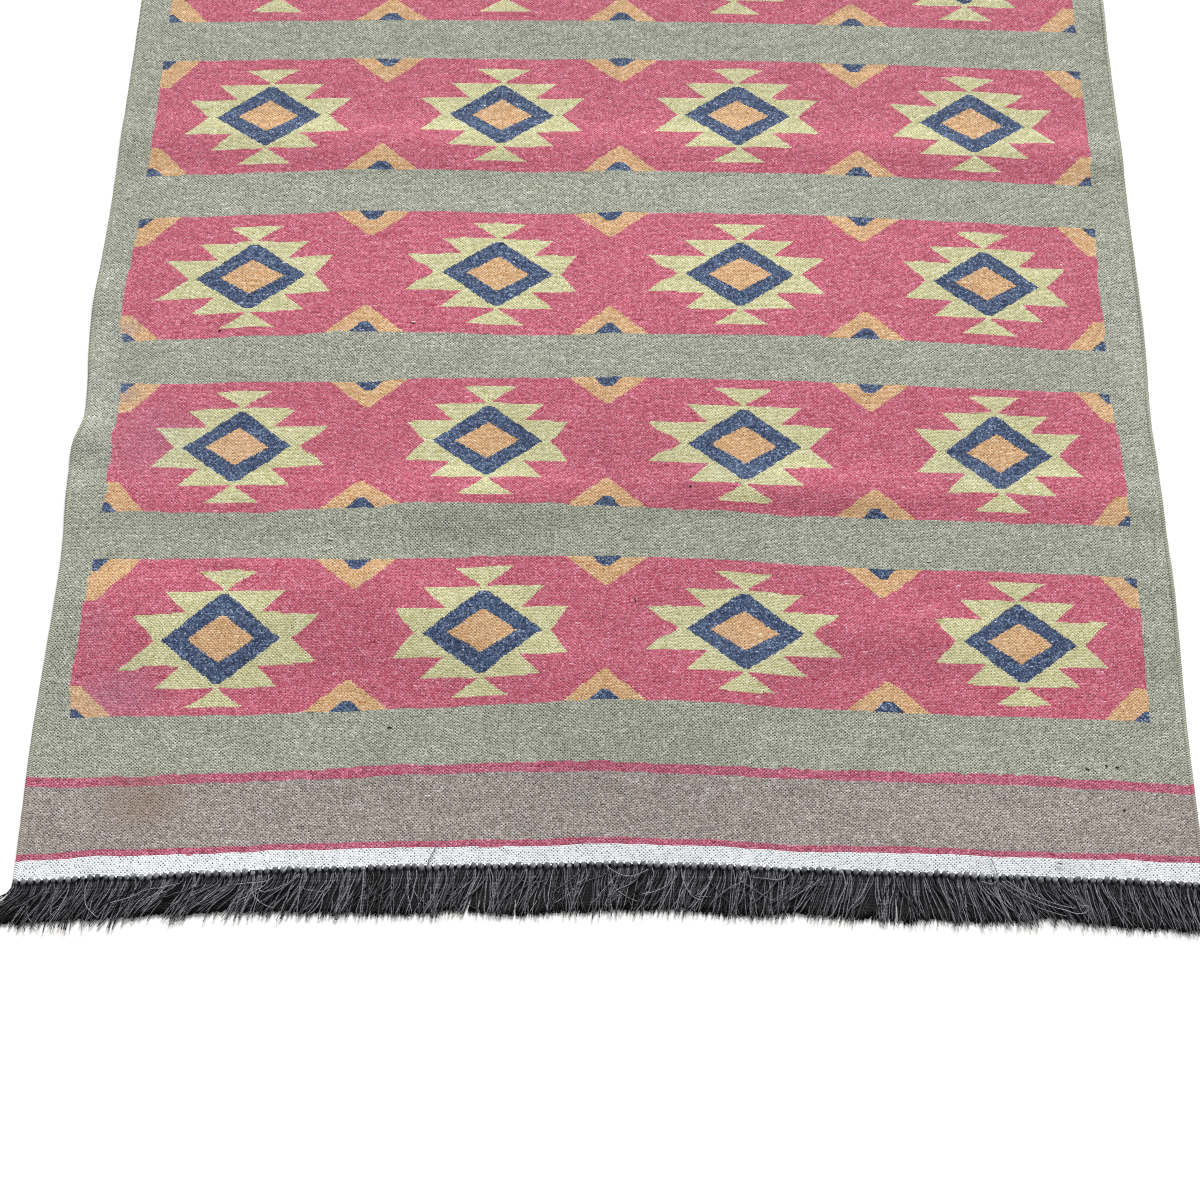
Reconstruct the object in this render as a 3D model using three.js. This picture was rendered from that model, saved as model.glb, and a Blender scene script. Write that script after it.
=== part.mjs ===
// Kilim rug with a knotted fringe at both ends, lying on the floor.
// Millimetres, +Z up. X runs across the rug and Y along its warps.
// The origin is on the floor under the rug's middle. The near end is at -Y.

import * as THREE from "three";

// Driving dimensions
const rugWidth = 1800;
const rugLength = 2742; // the woven length, without the fringes
const clothThickness = 3;
const knotRowDepth = 10;
const knotHeight = 6;
const tasselLength = 76;
const tasselHeight = 4;
const tipHeight = 1.6;
const tasselsPerEnd = 81; // each stands for two knots
const tasselRootShare = 0.84; // of the pitch, where it leaves the knots
const tasselTipShare = 0.5;
const tasselWaver = { share: 0.06, turn: 2.4 }; // how far their lengths differ, and how quickly along the end
const pieceGap = 0.3;

// How far the woven ends curve out past a straight line, at seven places across
const endBow = [
  { across: -900, near: 48, far: 14 },
  { across: -600, near: 30, far: 10 },
  { across: -300, near: 15, far: 5 },
  { across: 0, near: 6, far: 3 },
  { across: 300, near: 11, far: 5 },
  { across: 600, near: 16, far: 9 },
  { across: 900, near: 23, far: 12 },
];

// How far the selvedges wander out from a straight line, along the rug
const sideWave = [
  { along: -1371, left: 0, right: 0 },
  { along: -1150, left: 3, right: -2 },
  { along: -900, left: -3, right: 3 },
  { along: -670, left: 6, right: 0 },
  { along: -600, left: -8, right: -3 },
  { along: -395, left: 4, right: 3 },
  { along: -150, left: -2, right: 0 },
  { along: 250, left: -4, right: -3 },
  { along: 650, left: 3, right: 2 },
  { along: 1050, left: -2, right: 3 },
  { along: 1371, left: 0, right: 0 },
];

// Soft ridges across the rug, from its folds in store and from lying a little slack: each crest's place,
// its height above the floor and how far its two flanks reach
const crossCreases = [
  [
    { across: -900, along: -778, rise: 2, farReach: 60, nearReach: 70 },
    { across: -600, along: -782, rise: 2, farReach: 60, nearReach: 70 },
    { across: -400, along: -780, rise: 3, farReach: 70, nearReach: 85 },
    { across: -250, along: -776, rise: 7, farReach: 80, nearReach: 95 },
    { across: -120, along: -768, rise: 6, farReach: 80, nearReach: 95 },
    { across: 0, along: -760, rise: 3, farReach: 60, nearReach: 80 },
    { across: 120, along: -750, rise: 3, farReach: 60, nearReach: 60 },
    { across: 280, along: -747, rise: 6, farReach: 70, nearReach: 60 },
    { across: 400, along: -750, rise: 5, farReach: 70, nearReach: 60 },
    { across: 520, along: -753, rise: 3, farReach: 60, nearReach: 60 },
    { across: 900, along: -764, rise: 2.5, farReach: 60, nearReach: 60 },
  ],
  [
    { across: -900, along: -965, rise: 2.5, farReach: 110, nearReach: 180 },
    { across: -700, along: -975, rise: 4.5, farReach: 110, nearReach: 180 },
    { across: -450, along: -950, rise: 5.5, farReach: 110, nearReach: 170 },
    { across: -250, along: -985, rise: 4, farReach: 110, nearReach: 160 },
    { across: -80, along: -1075, rise: 4, farReach: 100, nearReach: 160 },
    { across: 80, along: -1090, rise: 4, farReach: 100, nearReach: 150 },
    { across: 220, along: -1050, rise: 2, farReach: 90, nearReach: 110 },
    { across: 380, along: -1000, rise: 3.5, farReach: 80, nearReach: 80 },
    { across: 520, along: -1000, rise: 3.5, farReach: 80, nearReach: 80 },
    { across: 650, along: -1010, rise: 1, farReach: 80, nearReach: 80 },
    { across: 900, along: -1010, rise: 1, farReach: 80, nearReach: 80 },
  ],
  [
    { across: -900, along: -60, rise: 3, farReach: 60, nearReach: 75 },
    { across: -350, along: -70, rise: 5, farReach: 70, nearReach: 90 },
    { across: 150, along: -62, rise: 3, farReach: 60, nearReach: 75 },
    { across: 900, along: -78, rise: 4.5, farReach: 70, nearReach: 70 },
  ],
  [
    { across: -900, along: 628, rise: 4.5, farReach: 70, nearReach: 80 },
    { across: -200, along: 640, rise: 3, farReach: 60, nearReach: 70 },
    { across: 400, along: 634, rise: 5, farReach: 70, nearReach: 80 },
    { across: 900, along: 646, rise: 3, farReach: 60, nearReach: 70 },
  ],
];

// The soft ridge down the middle, from the fold made first
const middleCrease = { halfWidth: 26, rise: 2.5, clearOfEnds: 160 };

// Places where a selvedge stands a little off the floor
const lifts = [
  { across: -900, along: -395, halfAcross: 70, halfAlong: 70, rise: 4 },
  { across: -900, along: -668, halfAcross: 80, halfAlong: 60, rise: 5 },
  { across: 900, along: -905, halfAcross: 60, halfAlong: 80, rise: 3.5 },
  { across: 900, along: 240, halfAcross: 70, halfAlong: 90, rise: 4 },
];

// Which way the tassels lean at each place across, measured at their tips
const tasselLean = [
  { across: -900, near: -34, far: 14 },
  { across: -700, near: -36, far: 22 },
  { across: -540, near: -40, far: 8 },
  { across: -320, near: -14, far: -16 },
  { across: -230, near: -26, far: -10 },
  { across: -170, near: 0, far: 4 },
  { across: 20, near: -22, far: 20 },
  { across: 205, near: -8, far: 6 },
  { across: 320, near: -32, far: -12 },
  { across: 445, near: 6, far: -20 },
  { across: 635, near: 44, far: 0 },
  { across: 725, near: 26, far: 16 },
  { across: 900, near: 18, far: 10 },
];

// Reads a table at one place, with a smooth run from row to row
function smoothRead(table, placeName, valueName, place) {
  const last = table.length - 1;
  const row = table.findIndex((entry) => entry[placeName] >= place);
  if (row === 0 || place <= table[0][placeName]) return table[0][valueName];
  if (row === -1) return table[last][valueName];
  const before = table[row - 1];
  const after = table[row];
  const share = (place - before[placeName]) / (after[placeName] - before[placeName]);
  const ease = share * share * (3 - 2 * share);
  return before[valueName] + (after[valueName] - before[valueName]) * ease;
}

// A round-topped bump that reaches the floor at distance 1
function softBump(distance) {
  return Math.abs(distance) >= 1 ? 0 : 0.5 + 0.5 * Math.cos(Math.PI * distance);
}

// Height of the cloth's underside above the floor
function liftAt(x, y) {
  let height = 0;
  for (const crease of crossCreases) {
    const away = y - smoothRead(crease, "across", "along", x);
    const reach = smoothRead(crease, "across", away > 0 ? "farReach" : "nearReach", x);
    height += smoothRead(crease, "across", "rise", x) * softBump(away / reach);
  }
  const room = rugLength / 2 - middleCrease.clearOfEnds - Math.abs(y);
  const fade = THREE.MathUtils.smoothstep(room, 0, middleCrease.clearOfEnds);
  height = Math.max(height, middleCrease.rise * fade * softBump(x / middleCrease.halfWidth));
  for (const lift of lifts) {
    const away = Math.hypot((x - lift.across) / lift.halfAcross, (y - lift.along) / lift.halfAlong);
    height += lift.rise * softBump(away);
  }
  return height;
}

// The woven end's place along Y for a place across, at the near end (-1) or the far end (+1)
function endAt(x, side) {
  const bow = smoothRead(endBow, "across", side < 0 ? "near" : "far", x);
  return side * (rugLength / 2 + bow);
}

// Places along one axis: an even run with closer places round each crease
function stations(start, end, step, fineSpots) {
  const places = new Set([start, end]);
  const count = Math.round((end - start) / step);
  for (let i = 0; i <= count; i += 1) places.add(start + ((end - start) * i) / count);
  for (const spot of fineSpots) {
    for (let i = -spot.steps; i <= spot.steps; i += 1) {
      places.add(spot.at + (spot.reach * i) / spot.steps);
    }
  }
  const sorted = [...places].filter((p) => p >= start && p <= end).sort((a, b) => a - b);
  return sorted.filter((p, i) => i === 0 || i === sorted.length - 1
    || (p - sorted[i - 1] >= closestPlaces && end - p >= closestPlaces));
}

// A closed slab between an underside and a top, laid out as a grid of rows and columns
function gridSlab(columns, rows, pointAt, thickness) {
  const positions = [];
  for (const level of [0, thickness]) {
    for (const v of rows) {
      for (const u of columns) {
        const p = pointAt(u, v);
        positions.push(p.x, p.y, p.z + level);
      }
    }
  }
  const across = columns.length;
  const layer = across * rows.length;
  const index = [];
  for (let r = 0; r < rows.length - 1; r += 1) {
    for (let c = 0; c < across - 1; c += 1) {
      const a = r * across + c;
      const b = a + 1;
      const d = a + across;
      const e = d + 1;
      index.push(a, d, b, b, d, e);
      index.push(layer + a, layer + b, layer + d, layer + b, layer + e, layer + d);
    }
  }
  const rim = [];
  for (let c = 0; c < across - 1; c += 1) rim.push([c, c + 1]);
  for (let r = 0; r < rows.length - 1; r += 1) rim.push([(r + 1) * across - 1, (r + 2) * across - 1]);
  for (let c = across - 1; c > 0; c -= 1) rim.push([layer - across + c, layer - across + c - 1]);
  for (let r = rows.length - 1; r > 0; r -= 1) rim.push([r * across, (r - 1) * across]);
  for (const [from, to] of rim) index.push(from, to, layer + from, to, layer + to, layer + from);
  return meshGeometry(positions, index);
}

// A closed slab on the floor over a flat outline, with its own height at each corner
function outlineSlab(outline) {
  const count = outline.length;
  const positions = [];
  for (const p of outline) positions.push(p.x, p.y, 0);
  for (const p of outline) positions.push(p.x, p.y, p.height);
  const index = [];
  const flat = outline.map((p) => new THREE.Vector2(p.x, p.y));
  for (const [a, b, c] of THREE.ShapeUtils.triangulateShape(flat, [])) {
    index.push(a, c, b, count + a, count + b, count + c);
  }
  for (let i = 0; i < count; i += 1) {
    const j = (i + 1) % count;
    index.push(i, j, count + i, j, count + j, count + i);
  }
  return meshGeometry(positions, index);
}

// Wraps points and triangles as a mesh's geometry
function meshGeometry(positions, index) {
  const geometry = new THREE.BufferGeometry();
  geometry.setAttribute("position", new THREE.Float32BufferAttribute(positions, 3));
  geometry.setIndex(index);
  geometry.computeVertexNormals();
  return geometry;
}

// Places across the rug and along it that carry its outline and its creases
const columnStep = 150;
const rowStep = 130;
const closestPlaces = 6;
const edgeReach = 80;
const edgeSteps = 3;
const creaseSteps = 4;
const liftSteps = 2;
const slantRoom = 15; // a crest isn't quite square to the warps
const middleOf = (crease) => {
  const alongs = crease.map((place) => place.along);
  return (Math.min(...alongs) + Math.max(...alongs)) / 2;
};
const reachOf = (crease) => Math.max(...crease.map((place) => place.nearReach));
const columns = stations(-rugWidth / 2, rugWidth / 2, columnStep, [
  { at: 0, reach: middleCrease.halfWidth, steps: 2 },
  { at: -rugWidth / 2, reach: edgeReach, steps: edgeSteps },
  { at: rugWidth / 2, reach: edgeReach, steps: edgeSteps },
]);
const rows = stations(-rugLength / 2, rugLength / 2, rowStep, [
  ...crossCreases.map((crease) => ({
    at: middleOf(crease),
    reach: reachOf(crease) + slantRoom,
    steps: creaseSteps,
  })),
  ...lifts.map((lift) => ({ at: lift.along, reach: lift.halfAlong, steps: liftSteps })),
]);

// The rug's point for a place across and along. The ends' curve and the selvedges' waves fade out inwards.
function rugPoint(u, v) {
  const half = rugLength / 2;
  const side = v < 0 ? -1 : 1;
  const endShare = (Math.abs(v) / half) ** 2;
  const y = v + (endAt(u, side) - side * half) * endShare;
  const edge = u < 0 ? "left" : "right";
  const edgeShare = (Math.abs(u) / (rugWidth / 2)) ** 4;
  const out = smoothRead(sideWave, "along", edge, v) * edgeShare;
  const x = u + Math.sign(u) * out;
  return new THREE.Vector3(x, y, liftAt(x, y));
}

// The fringe at one end: a strip of knots along the woven end, and its tassels, as one comb
function combOutline(side) {
  const value = side < 0 ? "near" : "far";
  const inner = columns.map((u) => {
    const p = rugPoint(u, (side * rugLength) / 2);
    return { x: p.x, y: p.y + side * pieceGap, height: knotHeight };
  });
  const pitch = rugWidth / tasselsPerEnd;
  const teeth = [];
  for (let i = 0; i < tasselsPerEnd; i += 1) {
    const x = -rugWidth / 2 + pitch * (i + 0.5);
    const root = endAt(x, side) + side * (pieceGap + knotRowDepth);
    const lean = smoothRead(tasselLean, "across", value, x);
    const length = tasselLength * (1 + tasselWaver.share * Math.sin(i * tasselWaver.turn));
    const drop = Math.sqrt(length ** 2 - lean ** 2);
    const rootHalf = (pitch * tasselRootShare) / 2;
    const tipHalf = (pitch * tasselTipShare) / 2;
    teeth.push({ x: x - rootHalf, y: root, height: tasselHeight });
    teeth.push({ x: x + lean - tipHalf, y: root + side * drop, height: tipHeight });
    teeth.push({ x: x + lean + tipHalf, y: root + side * drop, height: tipHeight });
    teeth.push({ x: x + rootHalf, y: root, height: tasselHeight });
  }
  return side < 0 ? [...teeth, ...inner.reverse()] : [...teeth.reverse(), ...inner];
}

const weave = new THREE.MeshStandardMaterial({ color: 0xbe6a7c, roughness: 0.95, metalness: 0 });
const warpEnds = new THREE.MeshStandardMaterial({ color: 0x3e3d40, roughness: 0.9, metalness: 0 });

const rug = new THREE.Mesh(gridSlab(columns, rows, rugPoint, clothThickness), weave);
rug.name = "rug";

const fringeNear = new THREE.Mesh(outlineSlab(combOutline(-1)), warpEnds);
fringeNear.name = "fringe_near";

const fringeFar = new THREE.Mesh(outlineSlab(combOutline(1)), warpEnds);
fringeFar.name = "fringe_far";

const kilim = new THREE.Group();
kilim.add(rug, fringeNear, fringeFar);

export default kilim;
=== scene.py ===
# Kilim rug, lying flat on the floor. Tables are in millimetres, Blender's own objects in metres.
# +X runs across the rug, +Y along its warps from the near end to the far end, +Z up.
import math
from functools import partial

import bpy
import numpy as np
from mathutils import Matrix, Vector


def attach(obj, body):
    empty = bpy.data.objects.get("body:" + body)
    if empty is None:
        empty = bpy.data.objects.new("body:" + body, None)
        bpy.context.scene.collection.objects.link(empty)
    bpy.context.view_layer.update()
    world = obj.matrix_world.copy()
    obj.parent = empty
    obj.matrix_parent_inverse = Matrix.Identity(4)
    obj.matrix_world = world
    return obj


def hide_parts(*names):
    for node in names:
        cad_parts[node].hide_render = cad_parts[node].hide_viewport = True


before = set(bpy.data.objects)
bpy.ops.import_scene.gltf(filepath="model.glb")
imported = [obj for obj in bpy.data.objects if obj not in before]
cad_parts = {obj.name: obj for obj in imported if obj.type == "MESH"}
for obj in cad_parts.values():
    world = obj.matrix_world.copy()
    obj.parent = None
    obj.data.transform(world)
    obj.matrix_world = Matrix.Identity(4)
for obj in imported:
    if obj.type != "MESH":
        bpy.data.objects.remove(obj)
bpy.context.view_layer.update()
print("frame loaded")

scene = bpy.context.scene
mm = 0.001

# Camera

cameraView = {
    "place": (-0.0049, -1.99477, 2.59047),
    "aim": (-0.0216, -0.94828, 0.0),
    "lens": 52.14,  # for a sensor 36 wide
}


def makeCamera():
    data = bpy.data.cameras.new("rugCamera")
    data.lens = cameraView["lens"]
    camera = bpy.data.objects.new("rugCamera", data)
    scene.collection.objects.link(camera)
    place = Vector(cameraView["place"])
    camera.location = place
    camera.rotation_euler = (Vector(cameraView["aim"]) - place).to_track_quat("-Z", "Y").to_euler()
    scene.camera = camera


makeCamera()
print("camera placed")

# The cloth's shape, with the same numbers as its solid

cloth = {
    "width": 1800, "length": 2742, "thickness": 3, "columnStep": 11, "rowStep": 10,
    "unevenness": 0.35,  # how far thick yarns lift its face here and there
    "lumps": ((38, 3, 0.6), (95, 4, 0.4)),  # size, seed and share of that
    "selvedgeRoom": 3,  # the flat weave stops this far inside the edge, under its cord
}

halfWidth, halfLength = cloth["width"] / 2, cloth["length"] / 2

# How far weft lines bow from straight: along, and the shifts at these places across
bowPlaces = (-900, -750, -600, -450, -300, -150, 0, 150, 300, 450, 600, 750, 900)
weftBow = [
    (-1371, -48, -39, -30, -21, -15, -11, -6, -6, -11, -13, -16, -19, -23),
    (-1341, -45, -35, -28, -20, -14, -10, -3, -5, -12, -11, -15, -16, -19),
    (-1225, -42, -39, -30, -22, -12, -5, -2, -5, -10, -13, -14, -19, -25),
    (-1118, -48, -40, -35, -28, -19, -10, -1, -2, -10, -15, -19, -21, -27),
    (-874, -17, -15, -11, -11, -7, 1, 2, 0, -8, -14, -15, -19, -25),
    (-786, -23, -20, -18, -10, 3, 5, 1, -3, -10, -15, -16, -20, -23),
    (-542, -27, -25, -18, -16, -6, -4, 0, 0, -3, -7, -12, -16, -21),
    (-454, -38, -25, -16, -5, -5, -9, -2, -1, -1, -6, -13, -22, -26),
    (400, -16, -13, -9, -6, -3, -1, 0, -1, -2, -5, -8, -11, -14),
    (1371, 14, 12, 10, 7, 5, 4, 3, 4, 5, 7, 9, 10, 12),
]

# How far the selvedges wander outwards, as (along, left, right)
sideWave = [
    (-1371, 0, 0), (-1150, 3, -2), (-900, -3, 3), (-670, 6, 0), (-600, -8, -3), (-395, 4, 3),
    (-150, -2, 0), (250, -4, -3), (650, 3, 2), (1050, -2, 3), (1371, 0, 0),
]

# Soft ridges across the rug, from its folds in store and from lying slack. A crest's rows are across, along,
# rise, and the reach of its far and its near flank.
crossCreases = [
    [(-900, -778, 2, 60, 70), (-600, -782, 2, 60, 70), (-400, -780, 3, 70, 85), (-250, -776, 7, 80, 95),
     (-120, -768, 6, 80, 95), (0, -760, 3, 60, 80), (120, -750, 3, 60, 60), (280, -747, 6, 70, 60),
     (400, -750, 5, 70, 60), (520, -753, 3, 60, 60), (900, -764, 2.5, 60, 60)],
    [(-900, -965, 2.5, 110, 180), (-700, -975, 4.5, 110, 180), (-450, -950, 5.5, 110, 170),
     (-250, -985, 4, 110, 160), (-80, -1075, 4, 100, 160), (80, -1090, 4, 100, 150), (220, -1050, 2, 90, 110),
     (380, -1000, 3.5, 80, 80), (520, -1000, 3.5, 80, 80), (650, -1010, 1, 80, 80), (900, -1010, 1, 80, 80)],
    [(-900, -60, 3, 60, 75), (-350, -70, 5, 70, 90), (150, -62, 3, 60, 75), (900, -78, 4.5, 70, 70)],
    [(-900, 628, 4.5, 70, 80), (-200, 640, 3, 60, 70), (400, 634, 5, 70, 80), (900, 646, 3, 60, 70)],
]
middleCrease = {"halfWidth": 26, "rise": 2.5, "clearOfEnds": 160}

# Spots where a selvedge stands a little off the floor
lifts = [
    (-900, -395, 70, 70, 4), (-900, -668, 80, 60, 5), (900, -905, 60, 80, 3.5), (900, 240, 70, 90, 4),
]


def easeShare(value, start, end):
    share = np.clip((value - start) / (end - start), 0, 1)
    return share * share * (3 - 2 * share)


# Whole up to start, and gone from end on
def fadeOut(distance, start, end):
    return 1 - easeShare(np.abs(distance), start, end)


# Reads one column of a table at many places, with a smooth run from row to row
def readTable(table, column, at):
    places = np.array([row[0] for row in table], float)
    values = np.array([row[column] for row in table], float)
    row = np.clip(np.searchsorted(places, at) - 1, 0, len(places) - 2)
    ease = easeShare(at, places[row], places[row + 1])
    return values[row] + (values[row + 1] - values[row]) * ease


# Reads a table's first column of values below nought (left, or the near end), and its second above
def readSides(table, side, at):
    return np.where(side < 0, readTable(table, 1, at), readTable(table, 2, at))


def softBump(distance):
    return np.where(np.abs(distance) < 1, 0.5 + 0.5 * np.cos(np.pi * distance), 0)


# The sum of a table's round spots: across, along, reach across, reach along, strength
def spotsAt(table, across, along):
    total = 0
    for x, y, reachAcross, reachAlong, strength in table:
        total = total + strength * softBump(np.hypot((across - x) / reachAcross, (along - y) / reachAlong))
    return total


# A smooth random surface from -1 to 1, with lumps of the given size
def softNoise(x, y, size, seed):
    count = 256
    grid = np.random.default_rng(seed).uniform(-1, 1, (count, count))
    x, y = np.asarray(x, float) / size + 100, np.asarray(y, float) / size + 100
    column, row = np.floor(x).astype(int), np.floor(y).astype(int)
    a, b = easeShare(x - column, 0, 1), easeShare(y - row, 0, 1)
    left, right = column % count, (column + 1) % count
    lower, upper = (grid[i % count, left] * (1 - a) + grid[i % count, right] * a for i in (row, row + 1))
    return lower * (1 - b) + upper * b


# Height of the cloth's underside above the floor
def liftAt(x, y):
    height = 0
    for crest in crossCreases:
        away = y - readTable(crest, 1, x)
        reach = np.where(away > 0, readTable(crest, 3, x), readTable(crest, 4, x))
        height = height + readTable(crest, 2, x) * softBump(away / reach)
    room = halfLength - middleCrease["clearOfEnds"] - np.abs(y)
    fade = easeShare(room, 0, middleCrease["clearOfEnds"])
    middle = middleCrease["rise"] * fade * softBump(x / middleCrease["halfWidth"])
    return np.maximum(height, middle) + spotsAt(lifts, x, y)


# How far the weft line through (across, along) has moved along the rug there
def bowAt(across, along):
    lines = np.stack([readTable(weftBow, i + 1, along) for i in range(len(bowPlaces))])
    places = np.array(bowPlaces, float)
    i = np.clip(np.searchsorted(places, across) - 1, 0, len(places) - 2)
    ease = easeShare(across, places[i], places[i + 1])
    before = np.take_along_axis(lines, i[None], 0)[0]
    after = np.take_along_axis(lines, i[None] + 1, 0)[0]
    return before + (after - before) * ease


# Where the cloth's place (across, along) lies on the floor
def clothPlace(across, along):
    across, along = np.broadcast_arrays(np.asarray(across, float), np.asarray(along, float))
    y = along + bowAt(across, along)
    wave = readSides(sideWave, across, along)
    x = across + np.sign(across) * wave * (np.abs(across) / halfWidth) ** 4
    return x, y


# Small helpers for meshes, nodes and colours

lowest = 0.02  # nothing goes lower than this above the floor
noiseSpan = (0.3, 0.7)  # where most of a soft noise lies


# Blender's colours are linear, and the tables hold sRGB hex
def hexColour(text):
    parts = [int(text[i:i + 2], 16) / 255 for i in (1, 3, 5)]
    linear = [p / 12.92 if p <= 0.04045 else ((p + 0.055) / 1.055) ** 2.4 for p in parts]
    return (*linear, 1)


# Adds one node, with its operation after its kind, and fills its open sockets in order. A node as a value
# stands for its first output.
def addNode(tree, kind, *values, named=None, **settings):
    kind, _, operation = kind.partition(" ")
    node = tree.nodes.new("ShaderNode" + kind)
    if operation:
        node.operation = operation
    for name, value in settings.items():
        setattr(node, name, value)
    pairs = list(zip([s for s in node.inputs if s.enabled], values))
    pairs += [(node.inputs[name], value) for name, value in (named or {}).items()]
    for socket, value in pairs:
        if isinstance(value, bpy.types.Node):
            value = next(s for s in value.outputs if s.enabled)
        if isinstance(value, bpy.types.NodeSocket):
            tree.links.new(value, socket)
        else:
            socket.default_value = value
    return node


# An empty material, and addNode for its tree
def newMaterial(name):
    material = bpy.data.materials.new(name)
    material.use_nodes = True
    material.node_tree.nodes.clear()
    return material, partial(addNode, material.node_tree)


# Ends a material: its finish, its shade, and the relief that its bump follows
def setSurface(add, finish, shade, relief=None, bump=()):
    named = {**finish, "Base Color": shade}
    if relief is not None:
        named["Normal"] = add("Bump", *bump, relief)
    surface = add("BsdfPrincipled", named=named)
    add("OutputMaterial", surface)


# The colour of a yarn with turns: painted shade between the turns, painted highlight on them, and unevenly
# fluffy
def spunShade(add, colour, wave, place, kind):
    fluff = add("TexNoise", place, *kind["fluff"])
    fluffTone = add("MapRange", fluff, *noiseSpan, *kind["fluffTone"])
    paintedTurnShading = add("MapRange", wave, -1.0, 1.0, *kind["paintedTurnShading"])
    tone = add("Math MULTIPLY", fluffTone, paintedTurnShading)
    return add("VectorMath SCALE", colour, tone)


# Makes a mesh object from points in millimetres, with its named values at each point
def makePiece(name, points, faces, material, values=None):
    mesh = bpy.data.meshes.new(name)
    mesh.from_pydata((np.asarray(points) * mm).tolist(), [], faces)
    mesh.shade_smooth()
    for key, numbers in (values or {}).items():
        layer = mesh.attributes.new(key, "FLOAT_VECTOR", "POINT")
        layer.data.foreach_set("vector", np.asarray(numbers, np.float32).ravel())
    mesh.materials.append(material)
    piece = bpy.data.objects.new(name, mesh)
    scene.collection.objects.link(piece)
    return piece


# Round yarns along paths of (yarns, points, 3), with radii of (yarns, points). The values are each point's
# place along and around its yarn, and the yarn's own chance.
def yarnTubes(paths, radii, sides, chance):
    yarns, count = paths.shape[:2]
    tangent = np.gradient(paths, axis=1)
    tangent /= np.linalg.norm(tangent, axis=2, keepdims=True)
    sideways = np.cross(tangent, (0.0, 0.0, 1.0))
    sideways /= np.linalg.norm(sideways, axis=2, keepdims=True)
    upwards = np.cross(sideways, tangent)
    angles = np.arange(sides) / sides * 2 * math.pi
    ring = (sideways[:, :, None] * np.cos(angles)[None, None, :, None]
            + upwards[:, :, None] * np.sin(angles)[None, None, :, None])
    points = paths[:, :, None] + ring * radii[:, :, None, None]
    steps = np.linalg.norm(np.diff(paths, axis=1), axis=2)
    distance = np.concatenate([np.zeros((yarns, 1)), np.cumsum(steps, 1)], 1)
    values = np.empty(points.shape)
    values[..., 0] = distance[:, :, None]
    values[..., 1] = np.arange(sides) / sides
    values[..., 2] = chance.uniform(0, 1, (yarns, 1, 1))
    rings = np.arange(yarns * count * sides).reshape(yarns, count, sides)
    here, after = rings[:, :-1], rings[:, 1:]
    quads = np.stack([here, np.roll(here, -1, 2), np.roll(after, -1, 2), after], -1).reshape(-1, 4)
    faces = quads.tolist() + rings[:, 0, ::-1].tolist() + rings[:, -1].tolist()
    return points.reshape(-1, 3), faces, values.reshape(-1, 3)


# Stretches the rings of such yarns, each about its own middle
def stretchRings(points, paths, sides, stretch):
    middles = paths[:, :, None]
    rings = points.reshape(paths.shape[:2] + (sides, 3)) - middles
    return (middles + rings * stretch).reshape(-1, 3)


# A piece of such yarns, whose own chances lie between two tones
def makeYarns(name, paths, radii, sides, chance, material, tones=(0, 1)):
    points, faces, values = yarnTubes(paths, radii, sides, chance)
    points[:, 2] = np.maximum(points[:, 2], lowest)
    values[:, 2] = tones[0] + values[:, 2] * (tones[1] - tones[0])
    return makePiece(name, points, faces, material, {"yarn": values})


# The woven pattern

# The yarns' dyed colours, and those of the stains
yarnColours = {
    "brown": "#8A7460", "violet": "#76849F",
    "sage": "#ACAF9D", "rose": "#CB667B", "taupe": "#A89E97", "white": "#EFF3F6",
    "endRed": "#C4657E", "amber": "#D9AE80", "navy": "#405375", "straw": "#D1CE9E",
    "warp": "#2E2F33",
}
dyes = {name: hexColour(text) for name, text in yarnColours.items()}

# Wool and jute: matt, with a faint hairy sheen
woolFinish = {
    "Roughness": 0.95, "IOR": 1.5, "Specular IOR Level": 0.15, "Sheen Weight": 0.12, "Sheen Roughness": 0.6,
}

# A plain weave, with four warps to each knot of the fringe
weave = {
    "warpPitch": 1800 / 648, "weftPitch": 2.5,
    "warpShow": (-0.92, -0.5),  # where the dark warp comes up between the weft's crowns
    "warpSinks": -0.45,
    "openness": (0.08, -0.26),  # the bands' thick weft bares more warp than pale yarn does
    "paintedCrownShade": (0.27, 0.25),  # painted shade: how much darker weft is painted beside its crowns, in those two
    "crownSpan": (-0.2, 1.0),  # from there to the top of a crown
    "fineness": {"bands": 0.0, "web": 0.6, "panels": 1.0, "pale": 1.5},
    "paleSpan": (0.3, 0.5),  # how bright a panel's yarn is where it turns pale and fine
    "looseness": 0.8,  # how unevenly wefts are beaten down
    "sway": (6.0, 5.0, 0.0),  # how far the yarns run out of line
    "wander": (2.6, 1.5, 0.0),  # how far hand weaving strays from the chart
    "plyGrain": 3.3,  # unevenness within each crossing
    "ownGrain": 2.9,  # from one crossing to the next
    "bitGrain": 3.2,  # from one bit of uneven yarn to the next
    "streakGrain": 2.2,  # from one pick to the next
    "grainGamma": 0.16,
    "navyGrain": 1.45,  # the deepest dye takes most unevenly
    "navySpan": (0.08, 0.2),  # how bright a yarn is where that ends
    "grainTone": 0.05,
    "patch": (0.25, 0.75, 0.95, 1.05),  # from and to which tone, in patches a hand wide
    "cockle": (0.3, 0.7, 0.94, 1.06),  # painted light and shade: small cockles are painted a little lighter or darker
    "slub": (9.0, 2.5),  # the size of a thick bit of weft
    "slubShare": 0.008,
    "slubGrain": (1.5, -2.8),  # pale ones, and dark ones
    "bump": (0.6, 0.0006, 0.1),  # strength, metres high, filter
}

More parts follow.
